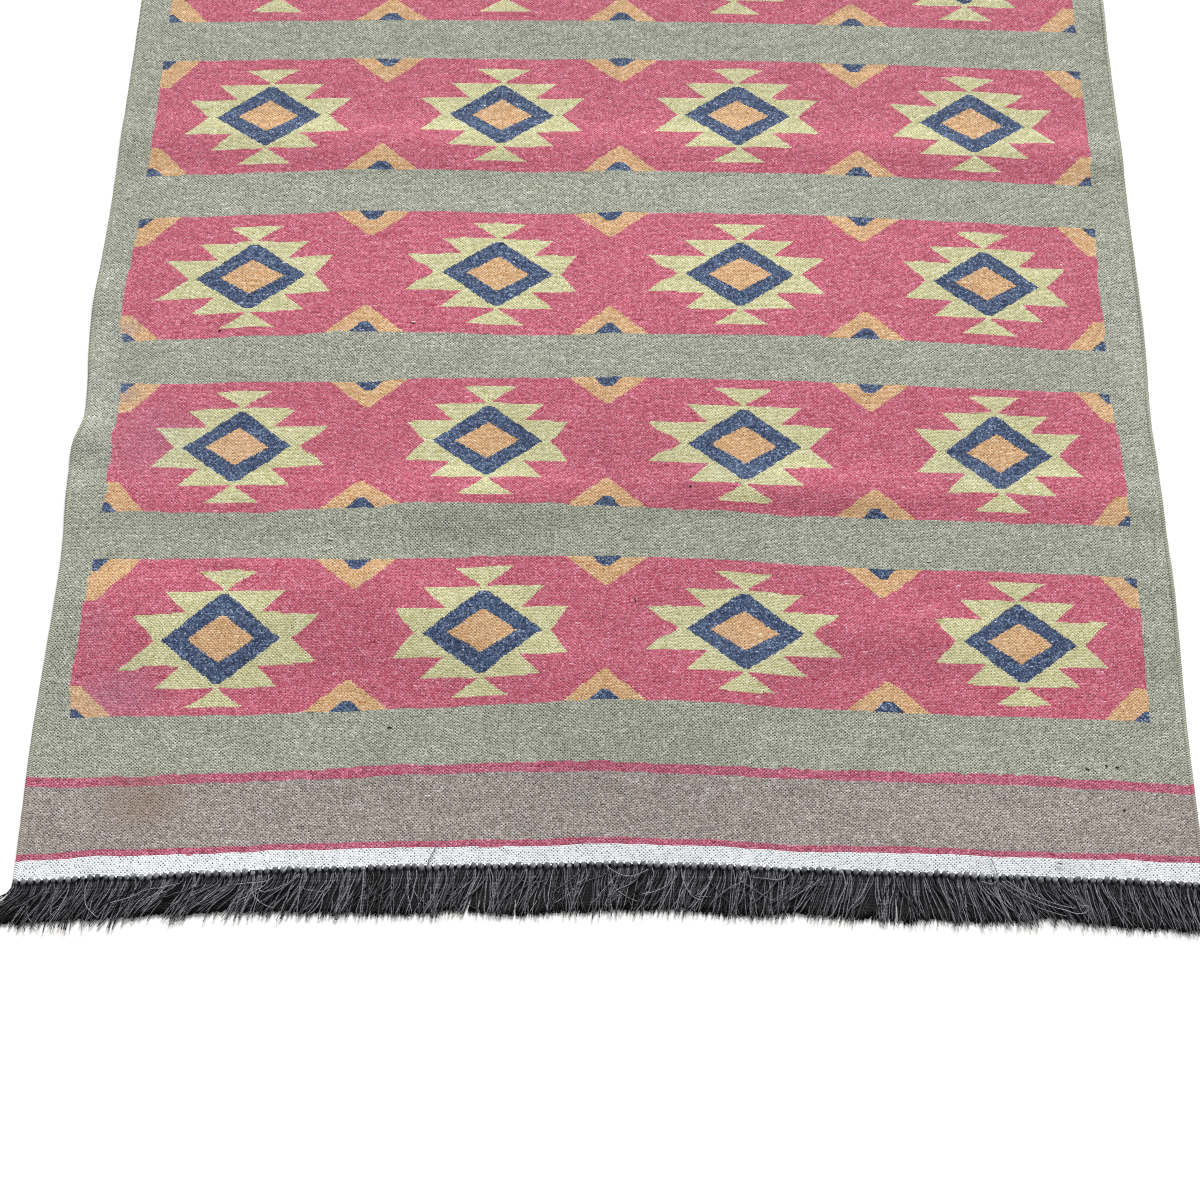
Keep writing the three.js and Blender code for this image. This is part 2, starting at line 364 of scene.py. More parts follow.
# The lumps of each unevenness: how many to the millimetre across, along and by tone, detail and roughness
weaveNoise = {
    "sway": ((0.03, 0.03, 0.03), 1.0, 0.5), "wander": ((0.016, 0.016, 0), 2.0, 0.5),
    "bit": ((0.125, 0.25, 0), 2.0, 0.7),
    "streak": ((0.009, 0.16, 0), 2.0, 0.6),  # long across the rug, and one pick or so along it
    "patch": ((0.007, 0.007, 0.007), 3.0, 0.6), "cockle": ((0.019, 0.034, 0), 2.0, 0.6),
}
everyHeight = (1e6,)  # a step so long that a pattern doesn't change with height

# The chart, from the rug's middle. Rows of stars stand a row pitch apart, four stars to a row.
chart = {
    "rowPitch": 332, "starPitch": 426, "panelHalfHeight": 122, "panelHalfWidth": 842,
    "panelsEnd": 1118,
    "chevron": (67, 54, 51),  # half of its base, its height, and where its tip is cut flat
    "chevronCore": (25, 24, 18), "corner": (71, 76, 56), "cornerCore": (26, 26, 18),
    "navyDiamond": (95, 68, 64), "amberDiamond": (55, 34, 34),
    "starSpan": 200,  # further than a star reaches
    "starTeeth": [(0, 108), (37, 148), (37, 60), (70, 97), (70, 4), (74, 6), (102, 49), (102, 0)],
    "web": 25,
    "endSpan": 400,  # further than the end's bands reach
    "endBands": [(0, "white"), (25, "endRed"), (35, "taupe"), (138, "endRed"), (154, "sage")],
}


# True inside a diamond with its tips cut flat. Across and along are distances from its middle.
def inDiamond(add, across, along, size):
    halfAcross, halfAlong, cut = size
    share = add("Math MULTIPLY", across, 1 / halfAcross)
    total = add("Math MULTIPLY_ADD", along, 1 / halfAlong, share)
    inside = add("Math LESS_THAN", total, 1.0)
    shallow = add("Math LESS_THAN", along, cut)
    return add("Math MULTIPLY", inside, shallow)


# Looks a value up among stops of place and colour, which lie within a span
def lookUp(add, value, span, stops, interpolation):
    share = add("Math MULTIPLY", value, 1 / span)
    node = add("ValToRGB", share)
    ramp = node.color_ramp
    ramp.interpolation = interpolation
    while len(ramp.elements) < len(stops):
        ramp.elements.new(1.0)
    for i, (place, colour) in enumerate(stops):
        ramp.elements[i].position = place / span
        ramp.elements[i].color = colour
    return node


# The bands across each end, read from how far a place is from the woven end
def bandColour(add, along):
    positive = add("Math ABSOLUTE", along)
    fromEnd = add("Math SUBTRACT", halfLength, positive)
    stops = [(place, dyes[name]) for place, name in chart["endBands"]]
    return lookUp(add, fromEnd, chart["endSpan"], stops, "CONSTANT")


# The colour of the weft at a place on the chart, and how fine that weft is
def chartColour(add, across, along):
    aside = add("Math ABSOLUTE", across)
    fromRow = add("Math PINGPONG", along, chart["rowPitch"] / 2)
    fromChevron = add("Math PINGPONG", across, chart["starPitch"] / 2)
    fromStar = add("Math SUBTRACT", chart["starPitch"] / 2, fromChevron)
    fromPanelEdge = add("Math SUBTRACT", chart["panelHalfHeight"], fromRow)
    fromPanelSide = add("Math SUBTRACT", chart["panelHalfWidth"], aside)

    # Panels
    lengthwise = add("Math ABSOLUTE", along)
    web = add("Math GREATER_THAN", lengthwise, halfLength - chart["web"])
    panel = add("Math LESS_THAN", lengthwise, chart["panelsEnd"])
    for inside in (fromPanelEdge, fromPanelSide):
        within = add("Math GREATER_THAN", inside, 0.0)
        panel = add("Math MULTIPLY", panel, within)

    # Chevrons on the panels' long edges, all but at the corners, which have their own
    inner = add("Math LESS_THAN", aside, chart["starPitch"] * 1.5)
    shapes = []
    for onEdge, atCorner, name in (("chevron", "corner", "amber"), ("chevronCore", "cornerCore", "navy")):
        chevron = inDiamond(add, fromChevron, fromPanelEdge, chart[onEdge])
        chevron = add("Math MULTIPLY", chevron, inner)
        corner = inDiamond(add, fromPanelSide, fromPanelEdge, chart[atCorner])
        shapes.append((add("Math MAXIMUM", chevron, corner), name))

    # Stars, with toothed straw-coloured sides
    span = chart["starSpan"]
    stops = [(place, (half / span,) * 3 + (1,)) for place, half in chart["starTeeth"]]
    teeth = lookUp(add, fromRow, span, stops, "LINEAR")
    reach = add("Math MULTIPLY", teeth, span)
    shapes.append((add("Math LESS_THAN", fromStar, reach), "straw"))
    for diamond, name in (("navyDiamond", "navy"), ("amberDiamond", "amber")):
        shapes.append((inDiamond(add, fromStar, fromRow, chart[diamond]), name))

    shade = dyes["rose"]
    for shape, name in shapes:
        shade = add("Mix", shape, shade, dyes[name], data_type="RGBA")
    steps = weave["fineness"]
    bright = add("RGBToBW", shade)
    fine = add("MapRange", bright, *weave["paleSpan"], steps["panels"], steps["pale"])
    bandFine = add("MapRange", web, 0.0, 1.0, steps["bands"], steps["web"])
    fine = add("Mix", panel, bandFine, fine)
    return add("Mix", panel, bandColour(add, along), shade, data_type="RGBA"), fine


def lumps(add, place, name):
    stretch, detail, roughness = weaveNoise[name]
    stretched = add("VectorMath MULTIPLY", place, stretch)
    return add("TexNoise", stretched, 1.0, detail, roughness)


# Moves a place out of line, as its lumps have it
def waver(add, place, name):
    away = add("VectorMath SUBTRACT", lumps(add, place, name).outputs["Color"], (0.5, 0.5, 0.5))
    return add("VectorMath MULTIPLY_ADD", away, weave[name], place)


# Wool and jute weft over cotton warp, plain woven by hand: matt, and speckled with the dark warp
def weaveMaterial():
    material, add = newMaterial("Wool and jute plain weave")
    place = add("Attribute", attribute_name="weave").outputs["Vector"]
    drift = add("Attribute", attribute_name="drift").outputs["Vector"]
    pitch = (weave["warpPitch"], weave["weftPitch"]) + everyHeight
    grid = add("VectorMath DIVIDE", waver(add, place, "sway"), pitch)
    cell = add("VectorMath FLOOR", grid)

    # Each crossing takes the chart's colour at its own middle, so that slanted edges climb in steps
    halfPitch = (pitch[0] / 2, pitch[1] / 2, 0)
    middle = add("VectorMath MULTIPLY_ADD", cell, pitch, halfPitch)
    charted = add("VectorMath ADD", waver(add, middle, "wander"), drift)
    weft, fine = chartColour(add, *add("SeparateXYZ", charted).outputs[:2])

    # Weft crowns stand where this wave is high, and the warp comes up where it is low
    waves = []
    for turns in add("SeparateXYZ", grid).outputs[:2]:
        angle = add("Math MULTIPLY", turns, math.pi)
        waves.append(add("Math SINE", angle))
    wave = add("Math MULTIPLY", *waves)
    luck = add("TexWhiteNoise", cell, noise_dimensions="2D")
    ownLuck, beatLuck, _ = add("SeparateColor", luck.outputs["Color"]).outputs
    slack = weave["looseness"] / 2
    loose = add("MapRange", beatLuck, 0.0, 1.0, -slack, slack)
    packed = add("Math ADD", wave, loose)
    bared = add("MapRange", fine, 0.0, weave["fineness"]["pale"], *weave["openness"])
    packed = add("Math SUBTRACT", packed, bared)
    weftShare = add("MapRange", packed, *weave["warpShow"], 0.0, 1.0, interpolation_type="SMOOTHSTEP")

    # Uneven spinning and dyeing: each crossing, bit of yarn, pick and wide patch is paler or darker
    halves = add("VectorMath MULTIPLY", grid, (2, 2, 0))
    halfCell = add("VectorMath FLOOR", halves)
    ply = add("TexWhiteNoise", halfCell, noise_dimensions="2D").outputs["Value"]
    grain = add("Math SUBTRACT", ownLuck, 0.5)
    grain = add("Math MULTIPLY", grain, weave["ownGrain"])
    bit, streak = (lumps(add, middle, name) for name in ("bit", "streak"))
    for noise, strength in ((ply, "plyGrain"), (bit, "bitGrain"), (streak, "streakGrain")):
        part = add("Math SUBTRACT", noise, 0.5)
        grain = add("Math MULTIPLY_ADD", part, weave[strength], grain)
    # Slubs: here and there a thick bit of weft
    slubGrid = add("VectorMath DIVIDE", middle, weave["slub"] + everyHeight)
    slubCell = add("VectorMath FLOOR", slubGrid)
    slubLuck = add("TexWhiteNoise", slubCell, noise_dimensions="2D").outputs["Value"]
    paleSlub = add("Math LESS_THAN", slubLuck, weave["slubShare"])
    darkSlub = add("Math GREATER_THAN", slubLuck, 1 - weave["slubShare"] / 2)
    for slub, strength in zip((paleSlub, darkSlub), weave["slubGrain"]):
        grain = add("Math MULTIPLY_ADD", slub, strength, grain)
    depth = add("MapRange", add("RGBToBW", weft), *weave["navySpan"], weave["navyGrain"], 1.0)
    dyeGrain = add("Math MULTIPLY", grain, depth)
    gamma = add("Math MULTIPLY_ADD", dyeGrain, -weave["grainGamma"], 1.0)
    weft = add("Gamma", weft, gamma)
    tone = add("Math MULTIPLY_ADD", grain, weave["grainTone"], 1.0)
    # Patches of the yarn's own tone, and the painted light and shade of small cockles
    for name in ("patch", "cockle"):
        patchToneAndCockleShading = add("MapRange", lumps(add, place, name), *weave[name])
        tone = add("Math MULTIPLY", tone, patchToneAndCockleShading)
    # Painted shade: weft beside its crowns is painted darker, more so where the weft is fine
    beside = add("MapRange", wave, *weave["crownSpan"], 1.0, 0.0)
    crownShade = add("MapRange", fine, 0.0, weave["fineness"]["pale"], *weave["paintedCrownShade"])
    crownShade = add("Math MULTIPLY", beside, crownShade)
    paintedCrownTone = add("Math SUBTRACT", 1.0, crownShade)
    # Times the painted shade beside the crowns, and the spots' painted shade and light with uneven tone
    for other in (paintedCrownTone, add("SeparateXYZ", place).outputs["Z"]):
        tone = add("Math MULTIPLY", tone, other)
    weft = add("VectorMath SCALE", weft, tone)
    brown = add("SeparateXYZ", drift).outputs["Z"]
    violet = add("Math MULTIPLY", brown, -1.0)
    for spotMix, name in ((brown, "brown"), (violet, "violet")):
        weft = add("Mix", spotMix, weft, dyes[name], data_type="RGBA")
    shade = add("Mix", weftShare, dyes["warp"], weft, data_type="RGBA")

    # Round crowns, with the warp lying lower
    sunk = add("Math MULTIPLY", wave, weave["warpSinks"])
    relief = add("Math MAXIMUM", wave, sunk)
    setSurface(add, woolFinish, shade, relief, weave["bump"])
    return material


# The rug

# Each star of the seen rows strays from the chart: row, column, shift across and along, wider by, taller by
starStray = {
    "seen": [
        (-3, 0, 15.5, -6.5, 0.99, 1.04), (-3, 1, 4.5, -2.5, 1.0, 1.04), (-3, 2, -2.5, 0.5, 0.99, 0.99),
        (-3, 3, 8, 0, 0.94, 1.01), (-2, 0, 9.5, -1.5, 0.95, 1.03), (-2, 1, -1, -1, 0.97, 1.05),
        (-2, 2, 1.5, 0.5, 0.99, 1.01), (-2, 3, -3, 2.5, 0.93, 1.04), (-1, 0, 3.5, -4.5, 1.0, 1.0),
        (-1, 1, 3.5, -1.5, 1.02, 1.0), (-1, 2, -1, -2, 1.0, 1.0), (-1, 3, -2, -1, 0.96, 1.0),
    ],
    "otherRows": (0, 1, 2, 3),
    "otherMost": (4, 3, 0.03),  # across, along, and taller by
}

# Chevrons' strays: panel row, across, shift across
chevronStray = [(-3, -426, 9), (-2, -426, 8), (-3, 426, 8), (-2, 426, 2), (-3, 0, -12),
                (-2, 0, -14), (-1, 0, -14), (-1, -426, -8)]

# Corners' strays: panel row, left or right side, near or far edge, wider by, deeper by
cornerStray = [(-3, -1, 1, 1.1, 1.22), (-3, -1, -1, 0.86, 0.9), (-3, 1, 1, 0.88, 0.95),
               (-2, 1, 1, 0.93, 0.97), (-2, 1, -1, 0.9, 0.97), (-1, -1, -1, 0.8, 0.94)]

# Where each of these strays begins to fade, and where it has died out
strayReach = {
    "star": 165, "starFade": 35,
    "starNarrows": (30, 0.9),  # past this far from its middle, by this for each millimetre
    "starAlong": (104, 120), "chevron": (72, 96), "chevronAlong": (122, 150),
    "corner": (80, 102), "cornerDepth": (72, 96),
    "cornerBand": -20,  # a corner takes this much of the band beside it along
    "side": (745, 845),
}

# How far the panels' sides stray outwards: along, left, right
sideStray = [
    (-1371, 0, 0), (-1118, 1, 0), (-1060, 11, 0), (-1000, 9, 0), (-930, 9, 0), (-886, 5, 0), (-780, -2, 0),
    (-746, -8, -2), (-700, -6, 0), (-664, -6, 0), (-636, 0, 0), (-590, -2, -5), (-545, -1, -9),
    (-460, 0, -12), (-408, 8, -10), (-330, 7, -11), (-200, 2, -5), (0, 0, 0), (1371, 0, 0),
]

# Spots that are brighter or darker: partly painted shade and light, where creases and slow slopes turn from
# or towards the light, and partly the cloth's own uneven tone
shadeAndToneSpots = [
    (0, -1240, 520, 150, -0.09), (0, -720, 330, 200, -0.08), (0, -240, 1300, 430, 0.1),
    (0, -1010, 1300, 260, -0.06), (0, -1358, 420, 40, -0.05),
    (-300, -1000, 700, 120, -0.03), (-640, -1362, 330, 40, 0.07), (500, -1362, 500, 40, -0.07),
    (391, -654, 30, 26, 0.12), (-885, -560, 75, 320, 0.24), (885, -430, 75, 420, 0.22),
    (560, -1290, 420, 70, 0.07), (-625, -895, 60, 30, -0.16), (-631, -664, 70, 45, 0.1),
    (152, -1322, 24, 14, -0.14), (221, -1330, 22, 12, -0.12), (401, -1298, 30, 16, -0.1),
]

# Brown stains above nought; below nought, patches where the weft is mixed towards a violet grey
brownAndVioletSpots = [
    (-715, -1258, 105, 66, 0.58), (-330, -1290, 40, 16, 0.1), (420, -1170, 60, 24, 0.08),
    (-770, -650, 120, 130, -0.14), (-780, -1085, 120, 60, -0.2), (-825, -985, 40, 70, -0.12),
    (180, -1020, 200, 60, -0.05), (-885, -560, 75, 340, -0.08), (885, -430, 75, 420, -0.08),
    (-631, -664, 60, 40, -0.12), (190, -712, 90, 34, -0.14), (590, -700, 100, 40, -0.1),
    (-835, -428, 36, 28, -0.28), (-830, -562, 34, 26, -0.3),
]


# How far the chart's place differs from the cloth's there, and how far the weft turns brown (above nought)
# and violet grey (below)
def chartDrift(across, along):
    shift = np.zeros((3,) + across.shape)
    rows = list(starStray["seen"])
    chance = np.random.default_rng(17)
    for row in starStray["otherRows"]:
        for column in range(4):
            aside, ahead, taller = chance.uniform(-1, 1, 3) * starStray["otherMost"]
            rows.append((row, column, aside, ahead, 1.0, 1 + taller))
    for row, column, aside, ahead, wider, taller in rows:
        x = across - (column - 1.5) * chart["starPitch"]
        y = along - row * chart["rowPitch"]
        wideTo, narrowing = strayReach["starNarrows"]
        reach = strayReach["star"] - narrowing * np.maximum(np.abs(y) - wideTo, 0)
        share = fadeOut(x, reach, reach + strayReach["starFade"]) * fadeOut(y, *strayReach["starAlong"])
        shift[0] += (-aside + (x - aside) * (1 / wider - 1)) * share
        shift[1] += (-ahead + (y - ahead) * (1 / taller - 1)) * share
    for row, place, aside in chevronStray:
        share = fadeOut(across - place, *strayReach["chevron"])
        shift[0] -= aside * share * fadeOut(along - row * chart["rowPitch"], *strayReach["chevronAlong"])
    for row, side, edge, wider, deeper in cornerStray:
        aside = chart["panelHalfWidth"] - across * side
        depth = chart["panelHalfHeight"] - (along - row * chart["rowPitch"]) * edge
        share = fadeOut(aside, *strayReach["corner"]) * fadeOut(depth, *strayReach["cornerDepth"])
        share = share * (depth > strayReach["cornerBand"])
        shift[0] += side * np.maximum(aside, 0) * (1 - 1 / wider) * share
        shift[1] += edge * np.maximum(depth, 0) * (1 - 1 / deeper) * share
    outwards = readSides(sideStray, across, along)
    shift[0] -= np.sign(across) * outwards * easeShare(np.abs(across), *strayReach["side"])
    shift[2] = spotsAt(brownAndVioletSpots, across, along)
    return shift


# One woven sheet with both its faces. The chart is on both, as in any kilim.
def makeRug(material):
    half, end = halfWidth - cloth["selvedgeRoom"], halfLength
    acrossLine = np.linspace(-half, half, round(2 * half / cloth["columnStep"]) + 1)
    alongLine = np.linspace(-end, end, round(2 * end / cloth["rowStep"]) + 1)
    across, along = np.meshgrid(acrossLine, alongLine)
    x, y = clothPlace(across, along)
    uneven = sum(softNoise(x, y, size, seed) * share for size, seed, share in cloth["lumps"])
    under = liftAt(x, y)
    top = under + cloth["thickness"] + cloth["unevenness"] * uneven
    points = np.concatenate([np.stack([x, y, height], -1).reshape(-1, 3) for height in (under, top)])
    layer = across.size
    corner = np.arange(layer).reshape(across.shape)
    a, b, c, d = corner[:-1, :-1], corner[:-1, 1:], corner[1:, 1:], corner[1:, :-1]
    below = np.stack([a, d, c, b], -1).reshape(-1, 4)
    above = np.stack([a, b, c, d], -1).reshape(-1, 4) + layer
    rim = np.concatenate([corner[0, :], corner[1:, -1], corner[-1, -2::-1], corner[-2:0:-1, 0]])
    after = np.roll(rim, -1)
    edge = np.stack([rim, after, after + layer, rim + layer], -1)
    faces = np.concatenate([below, above, edge])
    # The spots' painted shade and light, with the cloth's uneven tone, go into the weave's third value
    tone = 1 + spotsAt(shadeAndToneSpots, across, along)
    values = {"weave": [across, along, tone], "drift": list(chartDrift(across, along))}
    for name, numbers in values.items():
        values[name] = np.tile(np.stack(numbers, -1).reshape(-1, 3), (2, 1))
    rug = makePiece("rug_weave", points, faces.tolist(), material, values)
    rug.data.set_sharp_from_angle(angle=math.radians(45))
    spread = rug.data.uv_layers.new(name="OFBake")  # flat, with both faces in one place
    flat = np.stack([across / (2 * half) + 0.5, along / (2 * end) + 0.5], -1).reshape(-1, 2)
    flat = np.tile(flat, (2, 1))[faces.ravel()]
    spread.data.foreach_set("uv", flat.astype(np.float32).ravel())
    return rug


weaveLook = weaveMaterial()
rugWeave = makeRug(weaveLook)
print("rug woven:", len(rugWeave.data.polygons), "faces")

# Selvedges

selvedge = {
    "halfWidth": 4.2,  # the doubled outer warps make a low cord
    "halfHeight": 2.1,
    "turnPitch": 3.0,  # one turn of weft round it at each pick
    "turnDepth": 0.22,
    "swell": (14, 0.06),  # the size of its thick and thin places, and by how much
    "raised": 1.1,  # its middle above the cloth's underside, in half heights
    "slant": 0.8, "fluff": (0.22, 2.0, 0.7), "fluffTone": (0.82, 1.1), "paintedTurnShading": (0.62, 1.0),
    "bump": (0.5, 0.0006, 0.1), "ringsPerTurn": 2, "sides": 8,
}


# Wool weft turned round the doubled outer warps: packed close, so without the dark specks
def selvedgeMaterial():
    material, add = newMaterial("Wool weft round the selvedge")
    place = add("Attribute", attribute_name="weave").outputs["Vector"]
    across, along, _ = add("SeparateXYZ", place).outputs
    turns = add("Math MULTIPLY", along, 2 * math.pi / selvedge["turnPitch"])
    slant = add("Math MULTIPLY_ADD", across, selvedge["slant"], turns)
    wave = add("Math SINE", slant)
    # Painted shade between the weft's turns round the cord
    shade = spunShade(add, bandColour(add, along), wave, place, selvedge)
    setSurface(add, woolFinish, shade, wave, selvedge["bump"])
    return material


def makeSelvedge(name, side, material):
    turns = round(2 * halfLength / selvedge["turnPitch"])
    along = np.linspace(-halfLength, halfLength, turns * selvedge["ringsPerTurn"] + 1)
    middle = side * (halfWidth - selvedge["halfWidth"])
    x, y = clothPlace(middle, along)
    z = liftAt(x, y) + selvedge["halfHeight"] * selvedge["raised"]
    path = np.stack([x, y, z], -1)[None]
    bulge = 1 - selvedge["turnDepth"] * (np.arange(len(along)) % selvedge["ringsPerTurn"] == 0)
    swellSize, swell = selvedge["swell"]
    bulge = bulge + softNoise(along, 0, swellSize, 8 + side) * swell
    sides, wide = selvedge["sides"], selvedge["halfWidth"]
    points, faces, _ = yarnTubes(path, bulge[None], sides, np.random.default_rng(5))
    points = stretchRings(points, path, sides, (wide, wide, selvedge["halfHeight"]))
    weaveValues = np.stack([points[:, 0], np.repeat(along, sides), np.ones(len(points))], -1)
    return makePiece(name, points, faces, material, {"weave": weaveValues})


selvedgeLook = selvedgeMaterial()
selvedgeLeft = makeSelvedge("selvedge_left", -1, selvedgeLook)
selvedgeRight = makeSelvedge("selvedge_right", 1, selvedgeLook)
print("selvedges turned")

# Fringes

fringe = {
    "knotsPerEnd": 162,
    "knotRoom": 7.5,  # from the woven end to where the strands hang free
    "strandLength": 81,
    "tasselWaver": (14, 2.4),  # cut alike over this width, and shorter by up to twice this
    "throughKnot": ((-2.5, 0.9, 1.5), (2.625, 0.45, 1.9)),  # how far out, how wide apart and how high
    "underKnot": (0.9, 0.7),  # how wide apart and how high the lower strands are there
    "tuftLean": (30, 0.2),  # tassels lean alike over this width, by about this angle
    "knotLean": 0.12, "leanFrom": (-8, 22), "fanLength": 16, "strayShare": 0.07,
    "strayLean": 0.5, "strayRise": 1.2,
    "layerStep": 0.6,  # every other strand lies this share of its layer higher
    "curlShare": 0.06,
    "curl": (0.02, 0.0025),  # of those that curl, and of all
    "waveLength": (20, 48), "waveSize": (0.2, 1.6),
    "thickness": (0.85, 1.15),  # of its kind's radius
    "bump": (0.4, 0.0003, 0.1),
}
knotPitch = cloth["width"] / fringe["knotsPerEnd"]

# The strands that are seen, and those that lie under them, which are painted nearly black as painted shade
strandsOver = {
    "each": 6, "points": 14, "sides": 4, "radius": 0.98,
    "spread": 0.5,  # of the room between two knots
    "fan": 0.62, "sway": 0.12, "lengthWaver": 0.035, "layer": 1.5,
    "tip": 0.55,  # of its own radius, at its end
    "tones": (0.1, 1.0),
}
strandsUnder = {
    "each": 9, "points": 9, "sides": 3, "radius": 1.15, "spread": 1.0, "fan": 0.05, "sway": 0.012,
    "lengthWaver": 0.028, "layer": 0.0, "tip": 1.5, "tones": (0.0, 0.1),
}

# How far the strands' tips lean sideways: across, near end, far end
strandLean = [
    (-900, -46, 14), (-811, -45, 20), (-694, -48, 22), (-543, -52, 8), (-413, -38, -4), (-317, -15, -16),
    (-226, -34, -10), (-166, -2, 4), (-75, -12, 14), (15, -28, 20), (121, -32, 12), (204, -9, 6),
    (317, -42, -12), (408, -20, -18), (446, 4, -20), (499, 24, -14), (566, 32, -6), (635, 54, 0),
    (725, 30, 16), (781, 25, 14), (900, 18, 10),
]


# Places a knot's pitch apart along a woven end, the first so many pitches in
def endPlaces(side, first):
    across = -halfWidth + knotPitch * np.arange(first, fringe["knotsPerEnd"])
    return clothPlace(across, side * halfLength)


# Each strand leaves the cloth, goes through its knot and lies on the floor in a wavering line
def strandPaths(side, kind, chance):
    knotX, knotY = endPlaces(side, 0.5)
    each, count = kind["each"], kind["points"]
    shape = (len(knotX), each)
    isOver = kind["layer"] > 0
    order = (np.arange(each) + 0.5) / each - 0.5
    length = fringe["strandLength"] * (1 + kind["lengthWaver"] * chance.normal(0, 1, shape))
    cutWidth, cutWaver = fringe["tasselWaver"]
    length = length - cutWaver * (1 + softNoise(knotX, 0, cutWidth, 31 + side))[:, None]
    lean = readSides(strandLean, side, knotX)
    angle = np.arcsin(lean / fringe["strandLength"])[:, None]
    angle = angle + chance.normal(0, kind["sway"], shape)
    stray, curl = np.zeros(shape, bool), np.zeros(shape)
    if isOver:
        tuftSize, tuftLean = fringe["tuftLean"]
        angle = angle + softNoise(knotX, 0, tuftSize, 21 + side)[:, None] * tuftLean
        angle = angle + chance.normal(0, fringe["knotLean"], (len(knotX), 1))
        stray = chance.uniform(0, 1, shape) < fringe["strayShare"]
        angle = angle + np.where(stray, chance.normal(0, fringe["strayLean"], shape), 0)
        curled = chance.uniform(0, 1, shape) < fringe["curlShare"]
        curl = np.where(curled, chance.normal(0, fringe["curl"][0], shape), 0)
        curl = curl + chance.normal(0, fringe["curl"][1], shape)
    waveLength = chance.uniform(*fringe["waveLength"], shape)
    waveTurn = chance.uniform(0, 2 * math.pi, shape)
    waveSize = chance.uniform(*fringe["waveSize"], shape) * kind["sway"]

    paths = np.zeros((count, 3) + shape)
    for i, (gone, *over) in enumerate(fringe["throughKnot"]):
        apart, height = over if isOver else fringe["underKnot"]
        paths[i, 0] = knotX[:, None] + order * knotPitch * apart
        paths[i, 1] = gone
        paths[i, 2] = height
    step = length / (count - 2)
    x = knotX[:, None] + order * knotPitch * kind["spread"]
    y = np.full(shape, fringe["knotRoom"])
    z = kind["radius"] + kind["layer"] * (1 + fringe["layerStep"] * (np.arange(each) % 2))
    z = z + np.where(stray, fringe["strayRise"], 0)
    for i in range(count - 2):
        paths[2 + i] = x, y, z
        gone = step * i
        turn = angle * easeShare(gone, *fringe["leanFrom"])
        turn = turn + order * kind["fan"] * np.exp(-gone / fringe["fanLength"])
        turn = turn + curl * gone + waveSize * np.sin(gone / waveLength * 2 * math.pi + waveTurn)
        x = x + np.sin(turn) * step
        y = y + np.cos(turn) * step
    paths[:, 1] = knotY[:, None] + side * paths[:, 1]
    return np.moveaxis(paths, (0, 1), (2, 3)).reshape(-1, count, 3)


cotton = {
    "paleShare": 1.7,  # the higher, the fewer yarns are pale
    "fluff": (0.35, 2.0, 0.6), "fluffTone": (0.75, 1.3), "paintedTurnShading": (0.6, 1.15),
    "finish": {"Roughness": 0.75, "IOR": 1.5, "Specular IOR Level": 0.3},
}


# Twisted cotton warp yarn: charcoal and tightly spun, its plies painted with fine grey streaks as painted
# highlights, and painted shade between them
def cottonMaterial(name, plies, twist, darkest, palest):
    material, add = newMaterial(name)
    yarn = add("Attribute", attribute_name="yarn").outputs["Vector"]
    along, around, chance = add("SeparateXYZ", yarn).outputs
    winding = add("Math MULTIPLY", around, 2 * math.pi * plies)
    turned = add("Math MULTIPLY_ADD", along, 2 * math.pi / twist, winding)
    wave = add("Math SINE", turned)
    paleness = add("Math POWER", chance, cotton["paleShare"])
    colour = add("Mix", paleness, hexColour(darkest), hexColour(palest), data_type="RGBA")
    shade = spunShade(add, colour, wave, yarn, cotton)
    setSurface(add, cotton["finish"], shade, wave, fringe["bump"])
    return material


def makeStrands(name, side, kind, material):
    chance = np.random.default_rng(60 + side + kind["each"])
    paths = strandPaths(side, kind, chance)
    taper = 1 + (kind["tip"] - 1) * np.linspace(0, 1, kind["points"]) ** 4
    radii = kind["radius"] * chance.uniform(*fringe["thickness"], (len(paths), 1)) * taper
    return makeYarns(name, paths, radii, kind["sides"], chance, material, kind["tones"])


knot = {
    "half": (4.4, 5.0, 3.4),  # half across, half along, half high
    "neck": 0.42,  # of its width, where the warps go in and come out
    "at": 3.9,  # from the woven end to a knot's middle
    "off": (0.6, 0.9),  # how far one lies out of line, across and along
    "turn": 0.22, "size": (0.8, 1.14), "above": 0.25,
    "ridges": (2, 3.4, 0.11),  # how many, how far they wind, how high
    "rings": 9, "sides": 10,
}


